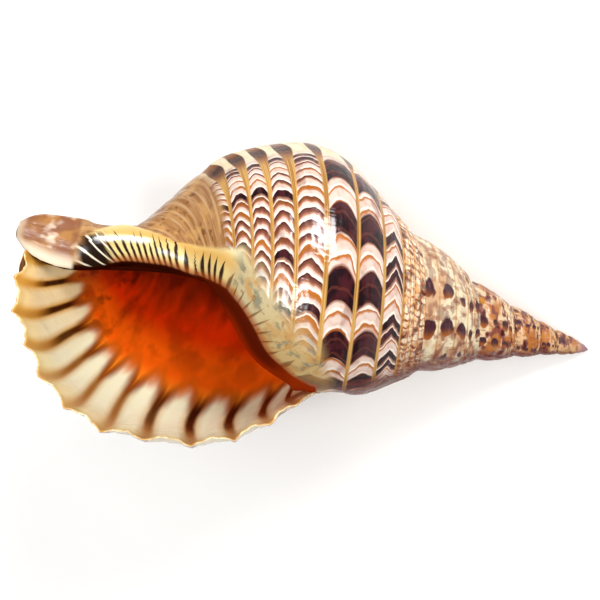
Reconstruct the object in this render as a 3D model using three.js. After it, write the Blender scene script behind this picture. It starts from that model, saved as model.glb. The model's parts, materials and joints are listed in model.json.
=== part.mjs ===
// A triton shell: a long sea snail's shell, right-handed, lying on its side.
// The whorls are one surface that coils round a straight axis and grows by the same factor in every turn.
// A point of it has a turn, which counts back from the outer lip (0) to the apex, and a cord number,
// which counts the spiral cords from the seam with the turn before (0) to the neck (12).
import * as THREE from "three";

// Driving dimensions, in millimetres and turns
const LENGTH = 300;
const GROWTH = 1.487;
const TURNS = 9;
const CAVITY_TURNS = 1.4;
const LIP_ANGLE = THREE.MathUtils.degToRad(-70);
const WALL = 3;
const CORD_HEIGHT = 1.3;
const LIP_SCALLOP = 3.4;
const LIP_SCALLOP_TURNS = 0.12;
const VARIX_HEIGHT = 2.4;
const VARIX_TURNS = 0.53;
const VARIX_WIDTH = 0.035;
const VARIX_END = 9.4;
const OLD_VARIX_END = 3.9;
const FLARE_TURNS = 0.26;
const SHIELD_THICKNESS = 1.4;
const SHIELD_FADE = 0.05;
const CORNER_DEPTH = 0.5;
const CORNER_TURNS = 0.06;
const APEX_Z = 1.5;
const REST_ROLL = THREE.MathUtils.degToRad(-102.5);
const REST_SLOPE = THREE.MathUtils.degToRad(25.5);
const CANAL_DEPTH = 15;
const CANAL_TURNS = 0.5;
const CANAL_CLOSING = 0.32;
const CANAL_END = 294.5;
const CANAL_NOTCH = 4;

// The cord of the turn before that carries the seam, and how far it drops at the lip
const SEAM_CORD = 4.49;
const SEAM_DROP = 0.3;
const SEAM_DROP_TURNS = 0.3;
const NECK_CORD = 12;

// Distance from the apex and radius at each cord of the last turn, without flare
const WHORL_Z = [132.6, 141.8, 150.5, 166, 186, 207.5, 226.5, 241, 253, 263.5, 273, 282, 291];
const WHORL_R = [56.9, 61.5, 66, 74.5, 82.5, 83.5, 78.5, 72.5, 66, 56.5, 42.5, 27.5, 16];
// The same for the flared edge of the outer lip
const LIP_Z = [137, 147, 160, 175.5, 195, 218, 238.5, 256.5, 271.5, 281, 290, 293, 290.5];
const LIP_R = [52, 59.5, 71.5, 82.5, 89.5, 91.5, 91.5, 84, 72, 58, 43, 27, 15.5];
// The spire is slimmer than the last turn: this part of the radius at the apex, the rest by a smooth step
const SPIRE_SLIMNESS = 0.656;
const SPIRE_FROM = 41;
const SPIRE_RUN = 128;
const LAST_TURN_FULLNESS = 1.05;
// Between two seams the spire's turns swell by this part of the radius
const SPIRE_SWELL = 0.035;
const SPIRE_TURN = 0.6;
// The whorl is pinched where the outer lip's corner meets it
const PINCH_DEPTH = 5;
const PINCH_TURN = 1.056;
const PINCH_TURNS = 0.2;
const PINCH_CORD = 3.2;
const PINCH_RISE = 1.2;
// The shield of the inner lip: the turn of its edge at distances from the apex
const SHIELD_Z = [130, 135, 146, 157, 169, 182, 191, 196, 206, 215.5, 231, 247, 255, 268];
const SHIELD_EDGE = [
  0.95, 0.94, 0.883, 0.861, 0.83, 0.797, 0.766, 0.767, 0.754, 0.721, 0.646, 0.6, 0.637, 0.76,
];
const SHIELD_INSIDE = 1.5;
// The pillar on the axis: distance from the apex, radius, and how far its middle is off the axis
const PILLAR_Z = [0, 205, 225, 245, 258, 275, 290, 300];
const PILLAR_R = [0.4, 9, 9.4, 10.6, 12.4, 13.3, 11, 7];
const PILLAR_OFF = [0, 2, 2.2, 2, -1.6, -3.4, -2.8, -2];

// How finely the surface is cut
const STEPS = 40;
const CORD_CUTS = 2;
const DEEP_TURN = 0.4;
const CANAL_CUTS = 7;
const PILLAR_CUTS = 4;
const COARSENING = 1.35;
const FIRST_INNER_CORD = 1.2;

function clamp(x) {
  return Math.min(Math.max(x, 0), 1);
}

function smooth(x) {
  const u = clamp(x);
  return u * u * (3 - 2 * u);
}

function mix(a, b, share) {
  return a + (b - a) * share;
}

// A smooth curve through the values ys at the places xs
function curveThrough(xs, ys, x) {
  const last = xs.length - 1;
  let i = 0;
  while (i < last - 1 && x > xs[i + 1]) i += 1;
  const slope = (j) => {
    const a = Math.max(j - 1, 0);
    const b = Math.min(j + 1, last);
    return (ys[b] - ys[a]) / (xs[b] - xs[a]);
  };
  const h = xs[i + 1] - xs[i];
  const u = clamp((x - xs[i]) / h);
  const rise = ys[i + 1] - ys[i];
  const bend = (1 - u) * (slope(i) * h - rise) - u * (slope(i + 1) * h - rise);
  return ys[i] + rise * u + u * (1 - u) * bend;
}

const CORDS = WHORL_Z.map((_, cord) => cord);

function size(turn) {
  return GROWTH ** -turn;
}

function angle(turn) {
  return LIP_ANGLE - 2 * Math.PI * turn;
}

// Where the seam of a turn lies on the turn before
function seamCord(turn) {
  return SEAM_CORD + SEAM_DROP * smooth((SEAM_DROP_TURNS - turn) / SEAM_DROP_TURNS);
}

// The whorl without flare, as a distance from the apex and a radius
function plainWhorl(turn, cord) {
  const z = size(turn) * curveThrough(CORDS, WHORL_Z, cord);
  const slim = mix(SPIRE_SLIMNESS, LAST_TURN_FULLNESS, smooth((z - SPIRE_FROM) / SPIRE_RUN));
  const swell = SPIRE_SWELL * Math.sin((Math.PI * cord) / SEAM_CORD) * smooth(turn - SPIRE_TURN);
  const nearPinch = smooth(1 - Math.abs(turn - PINCH_TURN) / PINCH_TURNS);
  const pinch = PINCH_DEPTH * nearPinch * smooth((cord - PINCH_CORD) / PINCH_RISE);
  const full = size(turn) * curveThrough(CORDS, WHORL_R, cord);
  return { z, r: full * (slim + swell) - pinch };
}

// The smooth surface down to the neck, with the lip's flare and the seam's drop
function smoothWhorl(turn, cord) {
  const here = plainWhorl(turn, cord);
  if (turn >= 1) return here;
  const seam = plainWhorl(turn + 1, seamCord(turn));
  const start = plainWhorl(turn, 0);
  const near = 1 - smooth(cord / 3);
  const z = here.z + near * (seam.z - start.z);
  const r = here.r + near * (seam.r - start.r);
  const flare = clamp(1 - turn / FLARE_TURNS) ** 2 * smooth(cord);
  return {
    z: mix(z, curveThrough(CORDS, LIP_Z, cord), flare),
    r: mix(r, curveThrough(CORDS, LIP_R, cord), flare),
  };
}

// The direction out of the surface, in the plane through the axis
function outward(turn, cord) {
  const step = 0.1;
  const a = smoothWhorl(turn, Math.max(cord - step, 0));
  const b = smoothWhorl(turn, Math.min(cord + step, NECK_CORD));
  const length = Math.hypot(b.z - a.z, b.r - a.r);
  return { z: (a.r - b.r) / length, r: (b.z - a.z) / length };
}

// How much of the inner lip's shield lies here, over the turn before and up the pillar
function shieldCover(turn, z) {
  const edge = curveThrough(SHIELD_Z, SHIELD_EDGE, z);
  const ends = smooth((z - SHIELD_Z[0]) / 8) * smooth((SHIELD_Z.at(-1) - z) / 2);
  const inner = smooth((SHIELD_INSIDE - turn) / 0.2);
  return smooth((turn - edge) / SHIELD_FADE + 0.5) * inner * ends;
}

// How much of the outer relief shows: none at the seams, inside the aperture or under the shield
function bareness(turn, cord, z) {
  const below = turn < 1 ? 1 : smooth((seamCord(turn - 1) - cord) / 0.8);
  return smooth(cord) * below * (1 - shieldCover(turn, z));
}

// Spiral cords with grooves at the whole numbers
function cordHeight(turn, cord) {
  const ridge = 0.5 - Math.cos(2 * Math.PI * cord) / 2;
  const behindLip = clamp(turn / LIP_SCALLOP_TURNS);
  return CORD_HEIGHT * size(turn) * ridge * behindLip * smooth((NECK_CORD - cord) / 1.5);
}

// The scallops of the lip, which end in points where the grooves arrive
function scallopHeight(turn, cord) {
  const point = 1 - Math.abs(Math.sin(Math.PI * cord));
  return LIP_SCALLOP * clamp(1 - turn / LIP_SCALLOP_TURNS) ** 2 * point * smooth(cord / 2);
}

// Thick old lips, left at equal steps of growth; only the last one reaches below the next turn's seam
function varixHeight(turn, cord) {
  const nearest = Math.max(Math.round(turn / VARIX_TURNS), 1) * VARIX_TURNS;
  const bump = Math.exp(-(((turn - nearest) / VARIX_WIDTH) ** 2));
  const end = turn < 0.9 ? VARIX_END : OLD_VARIX_END;
  return VARIX_HEIGHT * size(turn) * bump * smooth(end - cord);
}

// The outer surface with all that stands on it
function outerWhorl(turn, cord) {
  const base = smoothWhorl(turn, cord);
  const out = outward(turn, cord);
  const relief = bareness(turn, cord, base.z) * (cordHeight(turn, cord) + varixHeight(turn, cord));
  const height = relief + scallopHeight(turn, cord) + SHIELD_THICKNESS * shieldCover(turn, base.z);
  return { z: base.z + height * out.z, r: base.r + height * out.r, up: 0 };
}

// How far from the apex the canal's wall ends: short of the pillar, and notched behind the lip
function canalEnd(turn) {
  const notch = CANAL_NOTCH * smooth(turn / 0.1) * smooth((0.45 - turn) / 0.15);
  return mix(CANAL_END, LENGTH - 1, smooth((turn - 0.3) / 0.2)) - notch;
}

function canalDepth(turn) {
  return CANAL_DEPTH * smooth((CANAL_TURNS - turn) / CANAL_CLOSING);
}

// The pillar, and before the canal closes the canal's outer wall, at a distance from the apex
function pillarOutside(turn, z) {
  const neck = outerWhorl(turn, NECK_CORD);
  const share = smooth((4 * (z - neck.z)) / (LENGTH - neck.z));
  const bare = (1 - shieldCover(turn, z)) * smooth((SHIELD_Z.at(-1) - z) / 6);
  const pillar = curveThrough(PILLAR_Z, PILLAR_R, z) - SHIELD_THICKNESS * bare;
  const off = curveThrough(PILLAR_Z, PILLAR_OFF, z) * smooth((turn - 0.02) / 0.2);
  return { z, r: mix(neck.r, pillar + canalDepth(turn), share), up: off * share };
}

// The pillar inside the aperture
function pillarInside(turn, z) {
  const neck = outerWhorl(turn, NECK_CORD);
  const first = outerWhorl(1, NECK_CORD);
  const reach = 0.25 * (LENGTH - first.z) * size(turn - 1);
  const share = smooth((z - neck.z) / reach);
  const wall = WALL * size(turn - 1) * smooth((turn - 1) / 0.25);
  const radius = curveThrough(PILLAR_Z, PILLAR_R, z) - wall;
  return { z, r: mix(neck.r, radius, share), up: curveThrough(PILLAR_Z, PILLAR_OFF, z) * share };
}

// The inside of the canal's outer wall, which meets the pillar where the canal ends
function canalInside(turn, z) {
  const outside = pillarOutside(turn, z);
  const floor = pillarInside(turn + 1, z);
  const open = smooth((CANAL_TURNS - turn) / CANAL_CLOSING);
  return { z, r: mix(floor.r, outside.r - WALL, open), up: mix(floor.up, outside.up, open) };
}

// The inside of the outer wall
function innerWhorl(turn, cord) {
  const base = smoothWhorl(turn, cord);
  const out = outward(turn, cord);
  const depth = WALL * size(turn) - scallopHeight(turn, cord);
  return { z: base.z - depth * out.z, r: base.r - depth * out.r, up: 0 };
}

// The mesh under construction
const positions = [];
const triangles = [];

function addVertex(turn, point) {
  const a = angle(turn);
  positions.push(-point.z, -point.r * Math.cos(a), point.r * Math.sin(a) + point.up);
  return positions.length / 3 - 1;
}

function addTriangle(a, b, c) {
  if (a !== b && b !== c && c !== a) triangles.push(a, b, c);
}

// A strip of triangles between two rows, which may have different numbers of points
function stitch(rowA, rowB, insideOut) {
  let i = 0;
  let j = 0;
  while (i < rowA.length - 1 || j < rowB.length - 1) {
    const nextA = (i + 1) / Math.max(rowA.length - 1, 1);
    const nextB = (j + 1) / Math.max(rowB.length - 1, 1);
    const advanceA = j >= rowB.length - 1 || (i < rowA.length - 1 && nextA <= nextB + 1e-9);
    const corner = advanceA ? rowA[i + 1] : rowB[j + 1];
    if (insideOut) addTriangle(rowA[i], rowB[j], corner);
    else addTriangle(rowA[i], corner, rowB[j]);
    if (advanceA) i += 1;
    else j += 1;
  }
}

function fan(centre, ring) {
  for (let i = 0; i < ring.length; i += 1) {
    addTriangle(centre, ring[(i + 1) % ring.length], ring[i]);
  }
}

function spread(from, to, count) {
  return Array.from({ length: count }, (_, i) => mix(from, to, (i + 1) / count));
}

// Fewer cuts across the small turns near the apex
function cutsAcross(turn) {
  return Math.max(2, Math.round(SEAM_CORD * CORD_CUTS * COARSENING ** (1 - turn)));
}

const lastStep = Math.round(TURNS * STEPS);
const cavitySteps = Math.round(CAVITY_TURNS * STEPS);
const canalSteps = Math.round(CANAL_TURNS * STEPS);

function buildSeams() {
  const apex = addVertex(TURNS, { z: APEX_Z, r: 0, up: 0 });
  const seams = [];
  for (let step = 0; step <= lastStep; step += 1) {
    const turn = step / STEPS;
    seams.push(step < lastStep - STEPS ? addVertex(turn, { ...smoothWhorl(turn, 0), up: 0 }) : apex);
  }
  return seams;
}

// The part of a turn that shows between its seam and the next one
function spireRow(step, seams) {
  const turn = step / STEPS;
  const cords = spread(0, seamCord(turn - 1), cutsAcross(turn)).slice(0, -1);
  const middle = step < lastStep ? cords.map((cord) => addVertex(turn, outerWhorl(turn, cord))) : [];
  return [seams[step], ...middle, seams[step - STEPS]];
}

// The last turn's row, from the seam over the neck to the canal's tip
function openRow(step, seams) {
  const turn = step / STEPS;
  const cords = spread(0, NECK_CORD, NECK_CORD * CORD_CUTS);
  const whorl = cords.map((cord) => addVertex(turn, outerWhorl(turn, cord)));
  const neck = outerWhorl(turn, NECK_CORD).z;
  const places = spread(neck, canalEnd(turn), CANAL_CUTS);
  const canal = places.map((z) => addVertex(turn, pillarOutside(turn, z)));
  return { whorl: [seams[step], ...whorl], canal: [whorl.at(-1), ...canal] };
}

// The pillar's side of the cavity: the canal's floor from its tip, the pillar, and the turn before
// up to the corner
function cavityInner(step, seams, openRows) {
  const turn = step / STEPS;
  const before = turn + 1;
  const neck = innerWhorl(turn, NECK_CORD).z;
  const onPillar = (z) => addVertex(before, pillarInside(before, z));
  const rim = openRows[canalSteps].canal.at(-1);
  const tip = step < canalSteps ? onPillar(LENGTH) : rim;
  const canal = spread(LENGTH, neck, CANAL_CUTS);
  const floor = step <= canalSteps ? [tip, ...canal.map(onPillar)] : [onPillar(neck)];
  const places = spread(neck, outerWhorl(before, NECK_CORD).z, PILLAR_CUTS);
  const pillar = [floor.at(-1), ...places.map(onPillar)];
  const cornerCord = seamCord(turn) + CORNER_DEPTH * smooth(turn / CORNER_TURNS);
  const cords = spread(NECK_CORD, cornerCord, NECK_CORD).slice(0, -1);
  const corner = step > 0 ? addVertex(before, outerWhorl(before, cornerCord)) : seams[0];
  const wall = cords.map((cord) => addVertex(before, outerWhorl(before, cord)));
  return { floor, pillar, wall: [pillar.at(-1), ...wall, corner] };
}

// The outer wall's side of the cavity, from the corner to the neck and on to the canal's rim
function cavityOuter(step, inner, openRows) {
  const turn = step / STEPS;
  if (step === 0) return openRows[0];
  const neck = innerWhorl(turn, NECK_CORD).z;
  const onCanal = (z) => addVertex(turn, canalInside(turn, z));
  const first = FIRST_INNER_CORD * smooth(turn / CORNER_TURNS);
  const cuts = turn < DEEP_TURN ? CORD_CUTS * NECK_CORD : NECK_CORD;
  const cords = [first, ...spread(first, NECK_CORD, cuts)].slice(0, -1);
  const wall = cords.map((cord) => addVertex(turn, innerWhorl(turn, cord)));
  const whorl = [inner.wall.at(-1), ...wall];
  if (step >= canalSteps) {
    return { whorl: [...whorl, inner.pillar[0]], canal: inner.floor.toReversed() };
  }
  const canal = [neck, ...spread(neck, canalEnd(turn), CANAL_CUTS).slice(0, -1)].map(onCanal);
  return { whorl: [...whorl, canal[0]], canal: [...canal, openRows[step].canal.at(-1)] };
}

function buildOutside(seams) {
  const openRows = [];
  for (let step = 0; step < STEPS; step += 1) openRows.push(openRow(step, seams));
  return openRows;
}

function stitchOutside(openRows, firstInner, seams) {
  for (let step = 0; step < STEPS - 1; step += 1) {
    stitch(openRows[step].whorl, openRows[step + 1].whorl, false);
    stitch(openRows[step].canal, openRows[step + 1].canal, false);
  }
  const spire = [];
  for (let step = STEPS; step <= lastStep; step += 1) spire.push(spireRow(step, seams));
  const last = openRows.at(-1);
  stitch(last.whorl, [...spire[0], ...firstInner.wall.toReversed().slice(1)], false);
  const pillar = firstInner.pillar.toReversed();
  stitch(last.canal, [...pillar, ...firstInner.floor.toReversed().slice(1)], false);
  for (let i = 0; i < spire.length - 1; i += 1) stitch(spire[i], spire[i + 1], false);
}

function stitchCavity(inners, outers) {
  for (let step = 0; step < cavitySteps; step += 1) {
    stitch(outers[step].whorl, outers[step + 1].whorl, true);
    stitch(inners[step].pillar, inners[step + 1].pillar, true);
    stitch(inners[step].wall, inners[step + 1].wall, true);
    if (step < canalSteps) {
      stitch(outers[step].canal, outers[step + 1].canal, true);
      stitch(inners[step].floor, inners[step + 1].floor, true);
    }
  }
}

// The blunt end of the pillar, and the inner end of the cavity
function closeEnds(openRows, inners, outers) {
  const rim = openRows.slice(canalSteps).map((row) => row.canal.at(-1));
  const far = inners.slice(0, canalSteps).map((round) => round.floor[0]);
  const tip = addVertex(0, { z: LENGTH, r: 0, up: curveThrough(PILLAR_Z, PILLAR_OFF, LENGTH) });
  fan(tip, [...rim, ...far]);
  const lastInner = inners.at(-1);
  const end = [...outers.at(-1).whorl.slice(0, -1), ...lastInner.pillar, ...lastInner.wall.slice(1, -1)];
  const turn = cavitySteps / STEPS;
  const middle = innerWhorl(turn, 5);
  fan(addVertex(turn, { z: middle.z, r: middle.r * 0.75, up: 0 }), end);
}

function buildShell() {
  const seams = buildSeams();
  const openRows = buildOutside(seams);
  const inners = [];
  const outers = [];
  for (let step = 0; step <= cavitySteps; step += 1) {
    inners.push(cavityInner(step, seams, openRows));
    outers.push(cavityOuter(step, inners[step], openRows));
  }
  stitchOutside(openRows, inners[0], seams);
  stitchCavity(inners, outers);
  closeEnds(openRows, inners, outers);
  const geometry = new THREE.BufferGeometry();
  geometry.setAttribute("position", new THREE.Float32BufferAttribute(positions, 3));
  geometry.setIndex(triangles);
  geometry.computeVertexNormals();
  const material = new THREE.MeshStandardMaterial({ color: 0xe3c39a, roughness: 0.3, metalness: 0 });
  const shell = new THREE.Mesh(geometry, material);
  shell.name = "shell";
  return shell;
}

// How the shell rests: rolled about its axis onto the last turn's back, then sloped down to its tip
const shell = buildShell();
shell.rotation.set(REST_ROLL, REST_SLOPE, 0, "YXZ");
const object = new THREE.Group();
object.add(shell);
const box = new THREE.Box3().setFromObject(object, true);
shell.position.set(-(box.min.x + box.max.x) / 2, -(box.min.y + box.max.y) / 2, -box.min.z);

export default object;
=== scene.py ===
import json

import bpy
import numpy as np
from mathutils import Matrix

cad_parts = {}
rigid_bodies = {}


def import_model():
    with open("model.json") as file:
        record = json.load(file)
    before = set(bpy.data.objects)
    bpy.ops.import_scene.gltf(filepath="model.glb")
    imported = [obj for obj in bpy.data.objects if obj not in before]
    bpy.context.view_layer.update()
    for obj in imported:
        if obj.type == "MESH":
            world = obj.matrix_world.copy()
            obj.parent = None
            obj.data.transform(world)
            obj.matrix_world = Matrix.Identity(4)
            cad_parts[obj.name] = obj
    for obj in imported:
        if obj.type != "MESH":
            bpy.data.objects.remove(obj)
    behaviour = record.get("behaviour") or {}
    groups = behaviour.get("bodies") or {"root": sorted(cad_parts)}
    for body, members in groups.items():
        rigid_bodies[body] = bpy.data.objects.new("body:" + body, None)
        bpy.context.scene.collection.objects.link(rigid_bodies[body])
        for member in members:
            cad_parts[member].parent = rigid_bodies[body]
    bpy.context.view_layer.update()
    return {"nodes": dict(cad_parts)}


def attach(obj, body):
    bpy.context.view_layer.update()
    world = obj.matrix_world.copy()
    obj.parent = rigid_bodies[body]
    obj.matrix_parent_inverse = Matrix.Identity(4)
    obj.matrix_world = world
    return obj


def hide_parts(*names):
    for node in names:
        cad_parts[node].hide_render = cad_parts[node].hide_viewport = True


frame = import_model()

# The shell's sizes are in millimetres and turns, as the CAD part has them. A point of it has a turn, which
# counts back from the outer lip (0) to the apex, and a cord number, which counts the spiral cords from the
# seam with the turn before (0) to the neck (12) and on to the canal's tip (14).
MM = 0.001
LENGTH = 300.0
GROWTH = 1.487
TURNS = 9
CAVITY_TURNS = 1.4
LIP_ANGLE = np.radians(-70.0)
WALL = 3.0
SEAM_CORD = 4.49
SEAM_DROP = 0.3
SEAM_DROP_TURNS = 0.3
NECK_CORD = 12.0
TIP_CORD = 14.0
# Distance from the apex and radius at each cord of the last turn, without flare
WHORL_Z = [132.6, 141.8, 150.5, 166, 186, 207.5, 226.5, 241, 253, 263.5, 273, 282, 291]
WHORL_R = [56.9, 61.5, 66, 74.5, 82.5, 83.5, 78.5, 72.5, 66, 56.5, 42.5, 27.5, 16]
# The same for the flared edge of the outer lip
LIP_Z = [137, 147, 160, 175.5, 195, 218, 238.5, 256.5, 271.5, 281, 290, 293, 290.5]
LIP_R = [52, 59.5, 71.5, 82.5, 89.5, 91.5, 91.5, 84, 72, 58, 43, 27, 15.5]
FLARE_TURNS = 0.26
# The spire is slimmer than the last turn: this part of the radius at the apex, the rest by a smooth step
SPIRE_SLIMNESS = 0.656
SPIRE_FROM = 41.0
SPIRE_RUN = 128.0
LAST_TURN_FULLNESS = 1.05
# The pillar on the axis: distance from the apex, radius, and how far its middle is off the axis
PILLAR_Z = [0, 205, 225, 245, 258, 275, 290, 300]
PILLAR_R = [0.4, 9, 9.4, 10.6, 12.4, 13.3, 11, 7]
PILLAR_OFF = [0, 2, 2.2, 2, -1.6, -3.4, -2.8, -2]
CANAL_DEPTH = 15.0
CANAL_TURNS = 0.5
CANAL_CLOSING = 0.32
CANAL_END = 294.5
CANAL_NOTCH = 4.0
# Between two seams the spire's turns swell by this part of the radius
SPIRE_SWELL = 0.035
SPIRE_TURN = 0.6
# The spire's tip is full and blunt
TIP_FULLNESS = 0.2
TIP_END = 28.0
TIP_RUN = 20.0
BLUNT_Z = 2.0
APEX_Z = 1.5
# The whorl is pinched where the outer lip's corner meets it
PINCH_DEPTH = 5.0
PINCH_TURN = 1.056
PINCH_TURNS = 0.2
PINCH_CORD = 3.2
PINCH_RISE = 1.2
# The corner of the mouth, beside the seam
CORNER_DEPTH = 0.5
CORNER_TURNS = 0.06
FIRST_INNER_CORD = 1.2
REST_ROLL = np.radians(-102.5)
REST_SLOPE = np.radians(25.5)

# The shield of the inner lip: the turn of its outer edge at distances from the apex
SHIELD_THICKNESS = 1.4
SHIELD_END = 268.0
SHIELD_INSIDE = 1.5
SHIELD_SHARP_FROM = 178.0
SHIELD_Z = [130, 135, 146, 157, 169, 182, 191, 196, 206, 215.5, 231, 247, 255, 268]
SHIELD_EDGE = [0.95, 0.94, 0.883, 0.861, 0.83, 0.797, 0.766, 0.767, 0.754, 0.721, 0.646, 0.6, 0.637, 0.76]
# Its inner edge: the turn at each cord
EDGE_CORD = [5.0, 5.7, 6.2, 7.0, 7.75, 8.5, 9.1, 9.85, 11.2, 12.1, 12.4, 12.6, 12.85, 13.1, 13.4, 14]
EDGE_TURN = [
    0.96, 0.949, 0.935, 0.919, 0.885, 0.861, 0.849, 0.838, 0.847, 0.867, 0.89, 0.909, 0.925, 0.94, 0.94, 0.94,
]
EDGE_SAMPLES = 160
BLOCK = 20000
# Distances along that edge from the mouth's corner: the places that space the dark strokes, and its length
STROKE_AT = [
    10, 25, 36, 43, 49, 56, 62, 68, 77, 84, 92, 104, 112, 117, 121, 125, 129, 133, 137, 141, 145, 149, 170,
]
SHIELD_LENGTH = 163.0

# Cords, grooves and old lips
CORD_HEIGHT = 0.9
GROOVE_WIDTH = 0.13
THREAD_SHARE = 0.35
VARIX_HEIGHT = 2.4
VARIX_TURNS = 0.53
VARIX_WIDTH = 0.02
VARIX_END = 9.4
OLD_VARIX_END = 3.9
# The outer lip's scallops, teeth, thin rim and flutes
LIP_SCALLOP = 3.4
LIP_SCALLOP_TURNS = 0.12
RIM_TEETH = 0.12
RIM_TURNS = 0.004
RIM_SHARE = 0.4
THIN_TURNS = 0.05
FLUTE_HEIGHT = 1.3
FLUTE_START = 0.03
FLUTE_END = 0.2
# The pale tooth that runs into the mouth
RIDGE_HEIGHT = 2.0
RIDGE_TURN = 0.955
RIDGE_CORD = 5.75
RIDGE_WIDTH = 0.22
# The canal's lobe: its hollowed face and its round end
SCOOP_DEPTH = 5.0
SCOOP_TURN = 0.53
SCOOP_Z = 262.0
LOBE_ROUND = 288.0
LOBE_TIP = 0.35

# How finely the surface is cut
STEPS = 200
RIM_STEPS = [0.0, 0.0006, 0.0015, 0.0028]
CORD_CUTS = 8
DEEP_CORD_CUTS = 3
WALL_CUTS = 56
DEEP_WALL_CUTS = 28
DEEP_TURN = 0.4
CANAL_CUTS = 22
PILLAR_CUTS = 12
COARSENING = 1.3

# The photograph's camera, in its 600 pixel frame, from a fit to the shell's grooves and outline
CAMERA_YAW = np.radians(12.25)
CAMERA_PITCH = np.radians(6.38)
FOCAL_PIXELS = 1600.0
FRAME_PIXELS = 600.0
APEX_PIXEL = (592.0, 350.5)
APEX_DEPTH = 828.0
SENSOR = 36.0

# The studio, in metres: the floor, and what the lights are aimed at in the camera's own axes
FLOOR_SIZE = 12.0
SHELL_MIDDLE = (0.0, 0.0, -0.85)
LEFT_PART = (-0.1, -0.1, -0.85)
MOUTH_MIDDLE = (-0.12, -0.03, -0.8)
BESIDE_MOUTH = (-0.42, -0.25, 0.0)
WORLD_STRENGTH = 0.2


def smooth(x):
    """A smooth step from 0 at 0 to 1 at 1."""
    u = np.clip(x, 0.0, 1.0)
    return u * u * (3 - 2 * u)


def mix(a, b, share):
    return a + (b - a) * share


def curve_through(xs, ys, x):
    """A smooth curve through the values ys at the places xs."""
    xs = np.asarray(xs, float)
    ys = np.asarray(ys, float)
    before = np.maximum(np.arange(len(xs)) - 1, 0)
    after = np.minimum(np.arange(len(xs)) + 1, len(xs) - 1)
    slope = (ys[after] - ys[before]) / (xs[after] - xs[before])
    i = np.clip(np.searchsorted(xs, x, side="left") - 1, 0, len(xs) - 2)
    h = xs[i + 1] - xs[i]
    u = np.clip((x - xs[i]) / h, 0, 1)
    rise = ys[i + 1] - ys[i]
    bend = (1 - u) * (slope[i] * h - rise) - u * (slope[i + 1] * h - rise)
    return ys[i] + rise * u + u * (1 - u) * bend


CORDS = np.arange(len(WHORL_Z))


def size(turn):
    return GROWTH ** -turn


def angle(turn):
    return LIP_ANGLE - 2 * np.pi * turn


def seam_cord(turn):
    return SEAM_CORD + SEAM_DROP * smooth((SEAM_DROP_TURNS - turn) / SEAM_DROP_TURNS)


def plain_whorl(turn, cord):
    """The whorl without flare, as a distance from the apex and a radius."""
    z = size(turn) * curve_through(CORDS, WHORL_Z, cord)
    full = mix(SPIRE_SLIMNESS, LAST_TURN_FULLNESS, smooth((z - SPIRE_FROM) / SPIRE_RUN))
    full = full + SPIRE_SWELL * np.sin(np.pi * cord / SEAM_CORD) * smooth(turn - SPIRE_TURN)
    full = full + TIP_FULLNESS * smooth((TIP_END - z) / TIP_RUN) ** 2
    near = smooth(1 - abs(turn - PINCH_TURN) / PINCH_TURNS)
    pinch = PINCH_DEPTH * near * smooth((cord - PINCH_CORD) / PINCH_RISE)
    return z, size(turn) * curve_through(CORDS, WHORL_R, cord) * full - pinch


def smooth_whorl(turn, cord):
    """The smooth surface down to the neck, with the lip's flare and the seam's drop."""
    z, r = plain_whorl(turn, cord)
    if turn >= 1:
        return z, r
    seam_z, seam_r = plain_whorl(turn + 1, seam_cord(turn))
    start_z, start_r = plain_whorl(turn, 0.0)
    near = 1 - smooth(cord / 3)
    z = z + near * (seam_z - start_z)
    r = r + near * (seam_r - start_r)
    flare = np.clip(1 - turn / FLARE_TURNS, 0, 1) ** 2 * smooth(cord)
    lip_z = curve_through(CORDS, LIP_Z, cord)
    lip_r = curve_through(CORDS, LIP_R, cord)
    return mix(z, lip_z, flare), mix(r, lip_r, flare)


def outward(turn, cord):
    """The direction out of the surface, in the plane through the axis."""
    step = 0.1
    az, ar = smooth_whorl(turn, np.maximum(cord - step, 0))
    bz, br = smooth_whorl(turn, np.minimum(cord + step, NECK_CORD))
    length = np.hypot(bz - az, br - ar)
    return (ar - br) / length, (bz - az) / length


def shield_cover(turn, z):
    """How much of the inner lip's shield lies here: diffuse near the seam, with a sharp edge beyond."""
    soft = mix(0.06, 0.012, smooth((z - SHIELD_SHARP_FROM) / 18))
    cover = smooth((turn - curve_through(SHIELD_Z, SHIELD_EDGE, z)) / soft + 0.5)
    cover = cover * smooth((z - SHIELD_Z[0]) / 8) * smooth((SHIELD_END + 1 - z) / 2)
    return cover * smooth((SHIELD_INSIDE - turn) / 0.2)


def bareness(turn, cord, z):
    """How much of the outer relief shows: none at the seams, inside the mouth or under the shield."""
    below = 1.0 if turn < 1 else smooth((seam_cord(turn - 1) - cord) / 0.8)
    return smooth(cord) * below * (1 - shield_cover(turn, z))


def groove_distance(cord):
    return np.abs(cord - np.round(cord))


def cord_height(turn, cord):
    """Broad flat cords with a narrow groove at each whole number, and a thread in the groove."""
    distance = groove_distance(cord)
    thread = np.exp(-((distance / (0.3 * GROOVE_WIDTH)) ** 2))
    groove = np.exp(-((distance / GROOVE_WIDTH) ** 2)) - THREAD_SHARE * thread
    fade = np.clip(turn / LIP_SCALLOP_TURNS, 0, 1) * smooth((NECK_CORD - cord) / 1.5)
    return CORD_HEIGHT * size(turn) * (1 - groove) * fade


def scallop_height(turn, cord):
    """The scallops of the lip, which end in points where the grooves arrive, with small uneven teeth."""
    point = 1 - np.abs(np.sin(np.pi * cord)) + RIM_TEETH * np.sin(5.4 * np.pi * cord + 1.3)
    return LIP_SCALLOP * np.clip(1 - turn / LIP_SCALLOP_TURNS, 0, 1) ** 2 * point * smooth(cord / 2)


def varix_share(turn):
    """1 on the crest of an old lip, with a gentle side that faces the apex and a steep one ahead."""
    nearest = max(round(turn / VARIX_TURNS), 1) * VARIX_TURNS
    width = VARIX_WIDTH * (1.6 if turn > nearest else 0.8)
    return float(np.exp(-(((turn - nearest) / width) ** 2)))


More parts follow.
